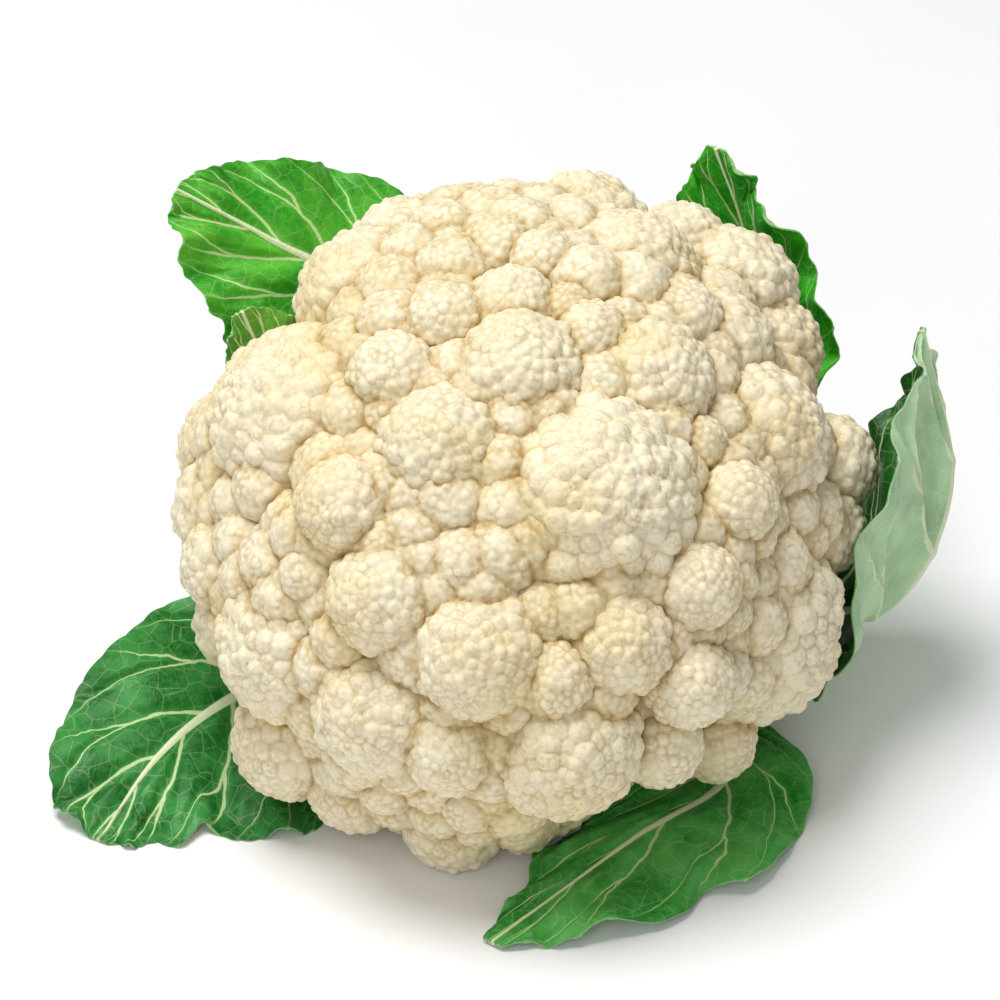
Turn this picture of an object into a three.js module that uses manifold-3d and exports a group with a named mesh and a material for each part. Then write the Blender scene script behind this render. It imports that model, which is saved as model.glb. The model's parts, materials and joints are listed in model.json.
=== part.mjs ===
// A cauliflower as it lies on a table: a curd of florets on its cut stalk, leaning forward, with six leaves.
// Millimetres, +Z up. The origin is the middle of the stalk's cut face, which rests on the table.
import * as THREE from "three";
import { mergeVertices } from "three/addons/utils/BufferGeometryUtils.js";
import Module from "manifold-3d";

const wasm = await Module();
wasm.setup();

// Driving dimensions: the curd's half width, half depth and dome height, and how far the head leans
const CURD_HALF_WIDTH = 86;
const CURD_HALF_DEPTH = 93;
const CURD_DOME = 72;
const LEAN = THREE.MathUtils.degToRad(24);
const STALK_LENGTH = 70; // from the curd's middle to the cut, along the lean
const STALK_RADIUS = 23;
const STALK_FLARE = 4; // extra radius where the stalk meets the curd
const CURD_SEAT = 44; // the curd's flat underside, below its middle
const TOUCH_GAP = 0.4; // between pieces that meet
const LEAF_THICKNESS = 1.4;
const LEAF_CLEARANCE = 3; // between a leaf and the florets it passes

// Places are given as seen from in front, from the curd's middle: across to the right, up, toward the viewer
const VIEW_ELEVATION = THREE.MathUtils.degToRad(35);
const ACROSS = new THREE.Vector3(1, 0, 0);
const UP = new THREE.Vector3(0, Math.sin(VIEW_ELEVATION), Math.cos(VIEW_ELEVATION));
const TOWARD = new THREE.Vector3(0, -Math.cos(VIEW_ELEVATION), Math.sin(VIEW_ELEVATION));

// The head's own axes: AXIS runs up the stalk, BACK points away from the viewer across the head
const AXIS = new THREE.Vector3(0, -Math.sin(LEAN), Math.cos(LEAN));
const BACK = new THREE.Vector3(0, Math.cos(LEAN), Math.sin(LEAN));
const MIDDLE = AXIS.clone().multiplyScalar(STALK_LENGTH);

const GOLDEN_ANGLE = Math.PI * (3 - Math.sqrt(5));

// The florets that face the viewer: across, up, radius, and how far each stands proud of the dome
const FRONT_FLORETS = [
  [-28, 70, 14, 0],
  [-4, 69, 9, 0],
  [-37, 57, 18, 0],
  [-17, 50, 10, 1],
  [0, 53, 11, 0],
  [2, 36, 16, 2],
  [19, 74, 17, 0],
  [30, 62, 18, 1],
  [8, 65, 9, 0],
  [14, 53, 7, -2],
  [20, 46, 9, 0],
  [35, 34, 16, 1],
  [43, 50, 11, 0],
  [47, 19, 7, -2],
  [62, 20, 19, 2],
  [57, 4, 10, 3],
  [58, 59, 17, 0],
  [66, 44, 15, 0],
  [45, 71, 12, 0],
  [80, -3, 12, -4],
  [84, 14, 12, -6],
  [21, 4, 26, 3],
  [-15, -5, 13, -8],
  [-18, 18, 15, 2],
  [-30, 36, 11, 2],
  [-52, 24, 25, 1],
  [-42, 3, 12, 3],
  [-72, 18, 15, 0],
  [-72, -12, 13, 0],
  [-55, -32, 20, 0],
  [-32, -20, 14, 2],
  [-8, -34, 16, 3],
  [-33, -48, 17, 1],
  [-15, -57, 12, 1],
  [-58, -58, 14, 0],
  [-40, -68, 13, 0],
  [-15, -78, 13, 0],
  [7, -24, 9, -5],
  [10, -40, 10, 0],
  [13, -57, 18, 3],
  [27, -31, 13, 1],
  [59, -27, 26, 1],
  [46, -17, 11, 3],
  [45, -41, 11, 3],
  [38, -58, 10, -3],
  [53, -58, 10, -3],
];
const SINK = 0.85; // share of a floret's radius that lies under the dome

// The rest of the head is filled along a golden spiral, from the crown to below the rim
const FILL_PASSES = [
  { count: 150, radius: 13, spread: 4 },
  { count: 420, radius: 8, spread: 2 },
];
const FILL_LOWEST = THREE.MathUtils.degToRad(122);
const FILL_SPACING = 0.6; // of the two radii: closer to another floret than this, none grows
const FRONT_SPACING = 0.78; // the same where the florets that face the viewer already cover the head
const FRONT_SINK = 6; // how much deeper those that fill the front lie
const FRONT_SIDE = TOWARD.clone().multiplyScalar(0.8).addScaledVector(UP, -0.6); // the seen, lower side
const FRONT_FROM = 0.2; // a floret whose axis has more than this share along it belongs to the front

// Where leaves press on the head and no floret grows: across, up, reach
const BARE = [
  [-66, 58, 26],
  [40, -76, 34],
];

// Each larger floret carries lumps, small at its crown and larger round its sides
const LUMPED_FROM = 11;
const LUMP_COUNT = 17;
const LUMP_LOWEST = THREE.MathUtils.degToRad(112);
const LUMP_SMALL = 0.24;
const LUMP_LARGE = 0.4;
const LUMP_BASE = 0.9; // the ball the lumps sit on, as a share of the floret's radius
const LUMP_PROUD = 0.03;
const CORE_SHARE = 0.85; // the solid core under the florets, as a share of the dome
const CURD_DETAIL = 20; // subdivisions of each face of an icosahedron

// A fixed scatter from 0 to 1 for two whole numbers
function scatter(a, b) {
  const x = Math.sin(a * 12.9898 + b * 78.233) * 43758.5453;
  return x - Math.floor(x);
}

function place(across, up, toward) {
  return MIDDLE.clone()
    .addScaledVector(ACROSS, across)
    .addScaledVector(UP, up)
    .addScaledVector(TOWARD, toward);
}

// The dome's outward direction at a point given from the middle
function domeNormal(offset) {
  return new THREE.Vector3()
    .addScaledVector(ACROSS, offset.dot(ACROSS) / CURD_HALF_WIDTH ** 2)
    .addScaledVector(BACK, offset.dot(BACK) / CURD_HALF_DEPTH ** 2)
    .addScaledVector(AXIS, offset.dot(AXIS) / CURD_DOME ** 2)
    .normalize();
}

// A floret seen at across, up: its middle lies where the sight line meets the dome, set in by SINK
function frontFloret([across, up, radius, proud]) {
  const inset = radius * SINK - proud;
  const [a, b, c] = [CURD_HALF_WIDTH, CURD_HALF_DEPTH, CURD_DOME].map((half) => half - inset);
  const [upBack, upAxis] = [UP.dot(BACK), UP.dot(AXIS)];
  const [towardBack, towardAxis] = [TOWARD.dot(BACK), TOWARD.dot(AXIS)];
  const square = (towardBack / b) ** 2 + (towardAxis / c) ** 2;
  const linear = up * ((upBack * towardBack) / b ** 2 + (upAxis * towardAxis) / c ** 2);
  const rest = (across / a) ** 2 + up ** 2 * ((upBack / b) ** 2 + (upAxis / c) ** 2) - 1;
  const toward = (Math.sqrt(Math.max(0, linear ** 2 - square * rest)) - linear) / square;
  const middle = place(across, up, toward);
  return { middle, radius, axis: domeNormal(middle.clone().sub(MIDDLE)) };
}

function fillFloret(index, pass) {
  const polar = FILL_LOWEST * Math.sqrt((index + 0.5) / pass.count);
  const turn = index * GOLDEN_ANGLE;
  const radius = pass.radius + pass.spread * scatter(index, 1);
  const inset = radius * SINK;
  const offset = new THREE.Vector3()
    .addScaledVector(ACROSS, (CURD_HALF_WIDTH - inset) * Math.sin(polar) * Math.cos(turn))
    .addScaledVector(BACK, (CURD_HALF_DEPTH - inset) * Math.sin(polar) * Math.sin(turn))
    .addScaledVector(AXIS, (CURD_DOME - inset) * Math.cos(polar));
  return { middle: offset.clone().add(MIDDLE), radius, axis: domeNormal(offset) };
}

function isBare(point) {
  const offset = point.clone().sub(MIDDLE);
  return BARE.some(
    ([across, up, reach]) => Math.hypot(offset.dot(ACROSS) - across, offset.dot(UP) - up) < reach,
  );
}

function allFlorets() {
  const florets = FRONT_FLORETS.map(frontFloret);
  FILL_PASSES.forEach((pass) => {
    for (let index = 0; index < pass.count; index++) {
      const next = fillFloret(index, pass);
      const inFront = next.axis.dot(FRONT_SIDE) > FRONT_FROM;
      const spacing = inFront ? FRONT_SPACING : FILL_SPACING;
      if (inFront) next.middle.addScaledVector(next.axis, -FRONT_SINK);
      const crowded = florets.some(
        (other) => other.middle.distanceTo(next.middle) < spacing * (other.radius + next.radius),
      );
      if (!crowded && !isBare(next.middle)) florets.push(next);
    }
  });
  return florets;
}

// A floret's lumps, on a golden spiral round its axis
function lumpsOf(floret, number) {
  if (floret.radius < LUMPED_FROM) return [{ middle: floret.middle, radius: floret.radius }];
  const side = new THREE.Vector3(1, 0, 0).cross(floret.axis).normalize();
  const other = floret.axis.clone().cross(side);
  const lumps = [{ middle: floret.middle, radius: floret.radius * LUMP_BASE }];
  for (let index = 0; index < LUMP_COUNT; index++) {
    const share = Math.sqrt((index + 0.3) / LUMP_COUNT);
    const polar = LUMP_LOWEST * share;
    const turn = index * GOLDEN_ANGLE + number;
    const size = LUMP_SMALL + (LUMP_LARGE - LUMP_SMALL) * share;
    const radius = floret.radius * size * (0.9 + 0.25 * scatter(number, index));
    const reach = floret.radius * (1 + LUMP_PROUD) - radius;
    const middle = floret.middle
      .clone()
      .addScaledVector(floret.axis, reach * Math.cos(polar))
      .addScaledVector(side, reach * Math.sin(polar) * Math.cos(turn))
      .addScaledVector(other, reach * Math.sin(polar) * Math.sin(turn));
    lumps.push({ middle, radius });
  }
  return lumps;
}

// How far a ray from the curd's middle runs before it leaves a ball; 0 where it misses
function exitOf(ball, direction, extra = 0) {
  const offset = ball.middle.clone().sub(MIDDLE);
  const along = offset.dot(direction);
  const inside = (ball.radius + extra) ** 2 - offset.lengthSq() + along ** 2;
  return inside < 0 ? 0 : along + Math.sqrt(inside);
}

function coreRadius(direction) {
  const squash =
    (direction.dot(ACROSS) / CURD_HALF_WIDTH) ** 2 +
    (direction.dot(BACK) / CURD_HALF_DEPTH) ** 2 +
    (direction.dot(AXIS) / CURD_DOME) ** 2;
  return CORE_SHARE / Math.sqrt(squash);
}

// The curd's flat seat on the stalk and the table both cut a ray short
function cutRadius(direction) {
  const down = -direction.dot(AXIS);
  const seat = down > 0 ? CURD_SEAT / down : Infinity;
  const table = direction.z < 0 ? MIDDLE.z / -direction.z : Infinity;
  return Math.min(seat, table);
}

const florets = allFlorets();
const lumps = florets.flatMap(lumpsOf);

function curdGeometry() {
  const geometry = new THREE.IcosahedronGeometry(1, CURD_DETAIL);
  geometry.deleteAttribute("normal");
  geometry.deleteAttribute("uv");
  const merged = mergeVertices(geometry, 1e-5);
  const position = merged.getAttribute("position");
  const direction = new THREE.Vector3();
  for (let i = 0; i < position.count; i++) {
    direction.fromBufferAttribute(position, i).normalize();
    const raised = lumps.reduce(
      (most, lump) => Math.max(most, exitOf(lump, direction)),
      coreRadius(direction),
    );
    const radius = Math.min(raised, cutRadius(direction));
    position.setXYZ(
      i,
      MIDDLE.x + direction.x * radius,
      MIDDLE.y + direction.y * radius,
      MIDDLE.z + direction.z * radius,
    );
  }
  merged.computeVertexNormals();
  return merged;
}

// Leaves. Each grows from the stalk: root gives the turn round it, the depth below the curd's middle
// and half the leaf stem's width. rib is the midrib's route, left and right are the blade's edges as its
// upper face shows them, tip up; all as across, up, toward.
const LEAVES = {
  leaf_upper_left: {
    root: { turn: 123, below: 55, half: 9 },
    rib: [[-30, 24, -78], [-42, 61, -72], [-65, 75, -62], [-90, 88, -50]],
    left: [[-44, 12, -74], [-69, 38, -60], [-82, 56, -54], [-90, 74, -50]],
    right: [[-22, 34, -84], [-28, 85, -80], [-54, 97, -70], [-79, 95, -58]],
    ribHeight: 5,
    wave: 3.4,
    colour: 0x4f9a3f,
  },
  leaf_inner_left: {
    root: { turn: 160, below: 53, half: 5 },
    rib: [[-44, -6, -68], [-60, 14, -60], [-64, 34, -52], [-72, 55, -40]],
    left: [[-52, -12, -64], [-70, 8, -56], [-75, 28, -48], [-76, 44, -42]],
    right: [[-40, 2, -70], [-50, 24, -66], [-53, 42, -57], [-58, 54, -48]],
    ribHeight: 2,
    wave: 1.4,
    colour: 0x7db35c,
  },
  leaf_upper_right: {
    root: { turn: 54, below: 55, half: 9 },
    rib: [[34, 22, -78], [59, 48, -72], [64, 72, -60], [55, 99, -47]],
    left: [[22, 30, -84], [42, 66, -80], [48, 83, -66], [47, 91, -56]],
    right: [[54, 8, -70], [83, 34, -50], [82, 60, -46], [68, 83, -44]],
    ribHeight: 4,
    wave: 3,
    colour: 0x3f8f36,
  },
  leaf_right: {
    root: { turn: 3, below: 55, half: 8 },
    rib: [[60, -26, -46], [99, -22, -24], [114, 8, -12], [107, 49, -8]],
    left: [[52, -14, -62], [92, 10, -50], [100, 28, -42], [108, 40, -22]],
    right: [[72, -40, -36], [82, -47, -2], [92, -6, 14], [102, 28, 8]],
    ribHeight: 4,
    wave: 2.6,
    colour: 0x9cc389,
  },
  leaf_lower_right: {
    root: { turn: 322, below: 54, half: 8 },
    rib: [[38, -49, -34], [56, -67, -12], [32, -82, 16], [-5, -107, 44]],
    left: [[48, -44, -38], [78, -66, -10], [62, -93, 26], [22, -104, 44]],
    right: [[27, -54, -30], [33, -68, -8], [9, -84, 12], [1, -96, 31]],
    ribHeight: 4,
    wave: 2.4,
    colour: 0x5f9c57,
  },
  leaf_lower_left: {
    root: { turn: 203, below: 55, half: 9 },
    rib: [[-48, -38, -44], [-74, -48, -28], [-92, -62, -8], [-107, -84, 8]],
    left: [[-38, -50, -32], [-50, -80, 4], [-72, -84, 8], [-94, -86, 9]],
    right: [[-50, -24, -50], [-84, -20, -40], [-112, -42, -18], [-120, -70, 2]],
    ribHeight: 4,
    wave: 3,
    colour: 0x3f8040,
  },
};
const TIP_HALF_WIDTH = 3;
const RIB_ROOT_HALF_WIDTH = 9;
const RIB_TIP_HALF_WIDTH = 2.5;
const RIB_TIP_SHARE = 0.1; // of the midrib's height, left at the tip
const LEAF_STEPS = 18;
const ACROSS_STATIONS = [-1, -0.78, -0.54, -0.3, -0.12, 0, 0.12, 0.3, 0.54, 0.78, 1];
const WAVES_PER_EDGE = 5;
const WAVES_FROM = 0.3; // share of the leaf's length where its edge starts to wave
const WAVES_TO = 0.9; // and where the waves die out toward the tip

function stalkPoint(turnDegrees, below, radius) {
  const turn = THREE.MathUtils.degToRad(turnDegrees);
  return MIDDLE.clone()
    .addScaledVector(AXIS, -below)
    .addScaledVector(ACROSS, radius * Math.cos(turn))
    .addScaledVector(BACK, radius * Math.sin(turn));
}

// A point inside the florets' guard moves straight out from the curd's middle until it is clear
function clearOfCurd(point) {
  const offset = point.clone().sub(MIDDLE);
  const direction = offset.clone().normalize();
  const guard = florets.reduce(
    (most, floret) => Math.max(most, exitOf(floret, direction, LEAF_CLEARANCE)),
    coreRadius(direction) + LEAF_CLEARANCE,
  );
  const radius = Math.max(offset.length(), Math.min(guard, cutRadius(direction) + LEAF_CLEARANCE));
  return MIDDLE.clone().addScaledVector(direction, radius);
}

// A leaf's midrib and its two edges, each a curve from root to tip
function leafCurves({ root, rib, left, right }) {
  const start = stalkPoint(root.turn, root.below, STALK_RADIUS + STALK_FLARE + TOUCH_GAP);
  const ribPoints = [start, ...rib.map((p) => place(...p))];
  const leftPoints = left.map((p) => place(...p));
  const rightPoints = right.map((p) => place(...p));
  const rootSide = stalkPoint(root.turn + 90, 0, 1).sub(MIDDLE);
  if (rootSide.dot(leftPoints[0].clone().sub(rightPoints[0])) < 0) rootSide.negate();
  const tipSide = leftPoints.at(-1).clone().sub(rightPoints.at(-1)).normalize();
  const tip = ribPoints.at(-1);
  const edge = (points, sign) =>
    new THREE.CatmullRomCurve3([
      start.clone().addScaledVector(rootSide, sign * root.half),
      ...points,
      tip.clone().addScaledVector(tipSide, sign * TIP_HALF_WIDTH),
    ]);
  return {
    rib: new THREE.CatmullRomCurve3(ribPoints),
    left: edge(leftPoints, 1),
    right: edge(rightPoints, -1),
  };
}

// Upward normals of a grid of points, row by row from root to tip
function gridNormals(grid) {
  const last = { row: grid.length - 1, column: grid[0].length - 1 };
  return grid.map((row, i) =>
    row.map((_, j) => {
      const along = grid[Math.min(i + 1, last.row)][j].clone().sub(grid[Math.max(i - 1, 0)][j]);
      const across = row[Math.min(j + 1, last.column)].clone().sub(row[Math.max(j - 1, 0)]);
      return across.cross(along).normalize();
    }),
  );
}

// The blade's middle surface: laid between midrib and edges, waved toward the edges, clear of the florets
function bladeGrid(leaf, number) {
  const { rib, left, right } = leafCurves(leaf);
  const flat = [];
  for (let i = 0; i <= LEAF_STEPS; i++) {
    const along = i / LEAF_STEPS;
    const spine = rib.getPoint(along);
    flat.push(
      ACROSS_STATIONS.map((t) => spine.clone().lerp((t < 0 ? left : right).getPoint(along), Math.abs(t))),
    );
  }
  const normals = gridNormals(flat);
  return flat.map((row, i) =>
    row.map((point, j) => {
      const along = i / LEAF_STEPS;
      const t = ACROSS_STATIONS[j];
      const rise = THREE.MathUtils.smoothstep(along, WAVES_FROM, WAVES_FROM + 0.2);
      const grown = rise * (1 - THREE.MathUtils.smoothstep(along, WAVES_TO, 1));
      const phase = 2 * Math.PI * (WAVES_PER_EDGE * along + scatter(number, t < 0 ? 1 : 2));
      const lift = leaf.wave * grown * t ** 2 * Math.sin(phase);
      return clearOfCurd(point.clone().addScaledVector(normals[i][j], lift));
    }),
  );
}

// Two faces a blade's thickness apart, the lower one raised along the midrib, closed round the edge
function leafGeometry(leaf, number) {
  const grid = bladeGrid(leaf, number);
  const normals = gridNormals(grid);
  const columns = ACROSS_STATIONS.length;
  const centre = (columns - 1) / 2;
  const upper = [];
  const lower = [];
  grid.forEach((row, i) => {
    const along = i / LEAF_STEPS;
    const ribHalf = THREE.MathUtils.lerp(RIB_ROOT_HALF_WIDTH, RIB_TIP_HALF_WIDTH, along);
    const ribHeight = leaf.ribHeight * THREE.MathUtils.lerp(1, RIB_TIP_SHARE, along);
    row.forEach((point, j) => {
      const away = point.distanceTo(row[centre]) / ribHalf;
      const rib = ribHeight * Math.max(0, 1 - away ** 2);
      const top = point.clone().addScaledVector(normals[i][j], LEAF_THICKNESS / 2);
      const bottom = point.clone().addScaledVector(normals[i][j], -LEAF_THICKNESS / 2 - rib);
      const sunk = Math.max(0, -Math.min(top.z, bottom.z));
      top.z += sunk;
      bottom.z += sunk;
      upper.push(top);
      lower.push(bottom);
    });
  });
  const index = [];
  const offset = upper.length;
  const quad = (a, b, c, d) => index.push(a, b, c, a, c, d);
  for (let i = 0; i < LEAF_STEPS; i++) {
    for (let j = 0; j < columns - 1; j++) {
      const a = i * columns + j;
      quad(a, a + 1, a + columns + 1, a + columns);
      index.push(offset + a, offset + a + columns + 1, offset + a + 1);
      index.push(offset + a, offset + a + columns, offset + a + columns + 1);
    }
    const leftEdge = i * columns;
    const rightEdge = leftEdge + columns - 1;
    quad(leftEdge, leftEdge + columns, offset + leftEdge + columns, offset + leftEdge);
    quad(rightEdge + columns, rightEdge, offset + rightEdge, offset + rightEdge + columns);
  }
  for (let j = 0; j < columns - 1; j++) {
    const tip = LEAF_STEPS * columns + j;
    quad(j + 1, j, offset + j, offset + j + 1);
    quad(tip, tip + 1, offset + tip + 1, offset + tip);
  }
  const geometry = new THREE.BufferGeometry().setFromPoints([...upper, ...lower]);
  geometry.setIndex(index);
  geometry.computeVertexNormals();
  return geometry;
}

// The stalk: turned about the lean, flared under the curd, cut level, with a cut leaf stem behind
const STALK_SIDES = 32;
const STALK_EXTRA = 40; // length under the table before the level cut
const FLARE_HEIGHT = 8;
const CUT_STEM = { turn: 88, below: 57, length: 10, radius: 6, taper: 0.9, sides: 14 };
const TABLE_WIDTH = 400;

function toSolid(geometry) {
  geometry.deleteAttribute("normal");
  geometry.deleteAttribute("uv");
  const merged = mergeVertices(geometry, 1e-4);
  return new wasm.Manifold(
    new wasm.Mesh({
      numProp: 3,
      vertProperties: new Float32Array(merged.getAttribute("position").array),
      triVerts: new Uint32Array(merged.getIndex().array),
    }),
  );
}

function toGeometry(solid) {
  const mesh = solid.getMesh();
  const geometry = new THREE.BufferGeometry();
  geometry.setAttribute("position", new THREE.BufferAttribute(new Float32Array(mesh.vertProperties), 3));
  geometry.setIndex(Array.from(mesh.triVerts));
  geometry.computeVertexNormals();
  return geometry;
}

// A solid of revolution about its own Y axis, turned to point along a direction and moved to a place
function aim(geometry, direction, place) {
  geometry.applyQuaternion(new THREE.Quaternion().setFromUnitVectors(new THREE.Vector3(0, 1, 0), direction));
  geometry.translate(place.x, place.y, place.z);
  return toSolid(geometry);
}

function stalkGeometry() {
  const top = -CURD_SEAT - TOUCH_GAP;
  const profile = [
    [0, -STALK_LENGTH - STALK_EXTRA],
    [STALK_RADIUS, -STALK_LENGTH - STALK_EXTRA],
    [STALK_RADIUS, -STALK_LENGTH],
    [STALK_RADIUS + 0.4 * STALK_FLARE, top - FLARE_HEIGHT],
    [STALK_RADIUS + STALK_FLARE, top],
    [0, top],
  ].map(([radius, height]) => new THREE.Vector2(radius, height));
  const turned = aim(new THREE.LatheGeometry(profile, STALK_SIDES), AXIS, MIDDLE);
  const { turn, below, length, radius, taper, sides } = CUT_STEM;
  const reach = STALK_RADIUS + length;
  const stem = aim(
    new THREE.CylinderGeometry(radius * taper, radius, reach, sides),
    stalkPoint(turn, 0, 1).sub(MIDDLE),
    stalkPoint(turn, below, reach / 2),
  );
  const table = new THREE.BoxGeometry(TABLE_WIDTH, TABLE_WIDTH, TABLE_WIDTH);
  table.translate(0, 0, -TABLE_WIDTH / 2);
  return toGeometry(turned.add(stem).subtract(toSolid(table)));
}

function piece(name, geometry, colour, roughness) {
  const material = new THREE.MeshStandardMaterial({ color: colour, roughness, metalness: 0 });
  const mesh = new THREE.Mesh(geometry, material);
  mesh.name = name;
  return mesh;
}

const cauliflower = new THREE.Group();
cauliflower.name = "cauliflower";
cauliflower.add(piece("curd", curdGeometry(), 0xe9dfbf, 0.7));
cauliflower.add(piece("stalk", stalkGeometry(), 0xc9d6a4, 0.6));
Object.entries(LEAVES).forEach(([name, leaf], number) => {
  cauliflower.add(piece(name, leafGeometry(leaf, number), leaf.colour, 0.5));
});

export default cauliflower;
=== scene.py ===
"""A cauliflower: curd, cut stalk and six leaves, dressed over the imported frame."""

import functools
import json
import math

import bpy
import numpy as np
from mathutils import Matrix, Vector

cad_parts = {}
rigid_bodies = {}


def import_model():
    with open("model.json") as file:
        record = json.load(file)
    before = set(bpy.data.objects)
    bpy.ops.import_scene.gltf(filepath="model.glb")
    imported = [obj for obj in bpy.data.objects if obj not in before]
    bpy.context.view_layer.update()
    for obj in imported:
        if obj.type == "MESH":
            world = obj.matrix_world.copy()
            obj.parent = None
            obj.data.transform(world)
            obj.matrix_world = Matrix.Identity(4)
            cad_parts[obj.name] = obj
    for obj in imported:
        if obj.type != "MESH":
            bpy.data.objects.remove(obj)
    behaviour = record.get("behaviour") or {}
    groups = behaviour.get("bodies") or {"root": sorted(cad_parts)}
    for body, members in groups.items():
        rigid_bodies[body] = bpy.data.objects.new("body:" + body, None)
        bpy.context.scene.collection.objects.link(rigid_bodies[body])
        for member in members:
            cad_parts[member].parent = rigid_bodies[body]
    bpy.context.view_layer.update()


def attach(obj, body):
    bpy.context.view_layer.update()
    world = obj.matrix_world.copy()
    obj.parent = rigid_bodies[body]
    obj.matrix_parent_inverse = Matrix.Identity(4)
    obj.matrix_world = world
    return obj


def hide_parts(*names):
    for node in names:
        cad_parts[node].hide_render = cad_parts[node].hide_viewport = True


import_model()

MM = 0.001
GOLDEN_ANGLE = math.pi * (3 - math.sqrt(5))

# The head, in millimetres, as the solids have it
CURD_HALVES = np.array([86.0, 93.0, 72.0])
LEAN = math.radians(24)
STALK_LENGTH = 70.0
STALK_RADIUS = 23.0
STALK_FLARE = 4.0
CURD_SEAT = 44.0
LEAF_CLEARANCE = 3.0
PIECE_GAP = 0.4  # room between pieces that stand against one another

# Places are given as seen from in front, from the curd's middle: across to the right, up, toward the viewer
VIEW_ELEVATION = math.radians(35)
ACROSS = np.array([1.0, 0.0, 0.0])
UP = np.array([0.0, math.sin(VIEW_ELEVATION), math.cos(VIEW_ELEVATION)])
TOWARD = np.array([0.0, -math.cos(VIEW_ELEVATION), math.sin(VIEW_ELEVATION)])
SEEN = np.array([ACROSS, UP, TOWARD])

# The head's own axes
AXIS = np.array([0.0, -math.sin(LEAN), math.cos(LEAN)])
BACK = np.array([0.0, math.cos(LEAN), math.sin(LEAN)])
HEAD = np.array([ACROSS, BACK, AXIS])
MIDDLE = AXIS * STALK_LENGTH


def scatter(a, b):
    """A fixed scatter from 0 to 1 for two whole numbers."""
    x = math.sin(a * 12.9898 + b * 78.233) * 43758.5453
    return x - math.floor(x)


def place(point):
    return MIDDLE + np.asarray(point, float) @ SEEN


def unit(v):
    return v / np.linalg.norm(v, axis=-1, keepdims=True)


def smoothstep(low, high, x):
    t = np.clip((x - low) / (high - low), 0, 1)
    return t * t * (3 - 2 * t)


# Florets that face the viewer: across, up, radius, and how far each stands proud of the dome
FRONT_FLORETS = [
    (-28, 70, 14, 0), (-4, 69, 9, 0), (-37, 57, 18, 0), (-17, 50, 10, 1), (0, 53, 11, 0),
    (2, 36, 16, 2), (19, 74, 17, 0), (30, 62, 18, 1), (8, 65, 9, 0), (14, 53, 7, -2),
    (20, 46, 9, 0), (35, 34, 16, 1), (43, 50, 11, 0), (47, 19, 7, -2), (62, 20, 19, 2),
    (57, 4, 10, 3), (58, 59, 17, 0), (66, 44, 15, 0), (45, 71, 12, 0), (80, -3, 12, -4),
    (84, 14, 12, -6), (21, 4, 26, 3), (-15, -5, 13, -8), (-18, 18, 15, 2), (-30, 36, 11, 2),
    (-52, 24, 25, 1), (-42, 3, 12, 3), (-72, 18, 15, 0), (-72, -12, 13, 0), (-55, -32, 20, 0),
    (-32, -20, 14, 2), (-8, -34, 16, 3), (-33, -48, 17, 1), (-15, -57, 12, 1), (-58, -58, 14, 0),
    (-40, -68, 13, 0), (-15, -78, 13, 0), (7, -24, 9, -5), (10, -40, 10, 0), (13, -57, 18, 3),
    (27, -31, 13, 1), (59, -27, 26, 1), (46, -17, 11, 3), (45, -41, 11, 3), (38, -58, 10, -3),
    (53, -58, 10, -3),
]
SINK = 0.85  # how deep a floret's middle lies under the dome, in its radii
FILL_PASSES = ((150, 13.0, 4.0), (420, 8.0, 2.0))  # count, radius, spread
GAP_PASS = (1100, 7.0, 3.0)
GAP_SPACING = 0.5
GAP_COVERED = 0.4  # a gap floret this far inside another, in its radii, is left out
GAP_SINK = 3.0
TABLE_GAP = 0.1
BARE_PROUD = 1.6  # where a leaf presses on the head, the small florets stay this low on the core
FILL_LOWEST = math.radians(122)
FILL_SPACING = 0.6
FRONT_SPACING = 0.78
FRONT_SINK = 6.0
FRONT_SIDE = 0.8 * TOWARD - 0.6 * UP
FRONT_FROM = 0.2
BARE = ((-66, 58, 26), (40, -76, 34))  # across, up, reach
CORE_SHARE = 0.85  # the core's size, as a share of the dome's


def dome_normal(offset):
    return unit((offset @ HEAD.T / CURD_HALVES**2) @ HEAD)


def front_floret(across, up, radius, proud):
    """The floret's middle lies where the sight line meets the dome, set in by SINK."""
    a, b, c = CURD_HALVES - (radius * SINK - proud)
    up_back, up_axis = UP @ BACK, UP @ AXIS
    toward_back, toward_axis = TOWARD @ BACK, TOWARD @ AXIS
    square = (toward_back / b) ** 2 + (toward_axis / c) ** 2
    linear = up * (up_back * toward_back / b**2 + up_axis * toward_axis / c**2)
    rest = (across / a) ** 2 + up**2 * ((up_back / b) ** 2 + (up_axis / c) ** 2) - 1
    toward = (math.sqrt(max(0.0, linear**2 - square * rest)) - linear) / square
    middle = place((across, up, toward))
    return middle, float(radius), dome_normal(middle - MIDDLE)


def fill_floret(index, count, radius, spread):
    polar = FILL_LOWEST * math.sqrt((index + 0.5) / count)
    turn = index * GOLDEN_ANGLE
    radius += spread * scatter(index, 1)
    ring = math.sin(polar)
    sphere = np.array([ring * math.cos(turn), ring * math.sin(turn), math.cos(polar)])
    offset = ((CURD_HALVES - radius * SINK) * sphere) @ HEAD
    return MIDDLE + offset, radius, dome_normal(offset)


def is_bare(point):
    across, up = (point - MIDDLE) @ ACROSS, (point - MIDDLE) @ UP
    return any(math.hypot(across - a, up - u) < reach for a, u, reach in BARE)


def all_florets():
    florets = [front_floret(*row) for row in FRONT_FLORETS]
    for count, radius, spread in FILL_PASSES:
        for index in range(count):
            middle, size, axis = fill_floret(index, count, radius, spread)
            in_front = axis @ FRONT_SIDE > FRONT_FROM
            spacing = FRONT_SPACING if in_front else FILL_SPACING
            if in_front:
                middle = middle - FRONT_SINK * axis
            crowded = any(np.linalg.norm(m - middle) < spacing * (r + size) for m, r, _ in florets)
            if not crowded and not is_bare(middle):
                florets.append((middle, size, axis))
    return florets


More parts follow.
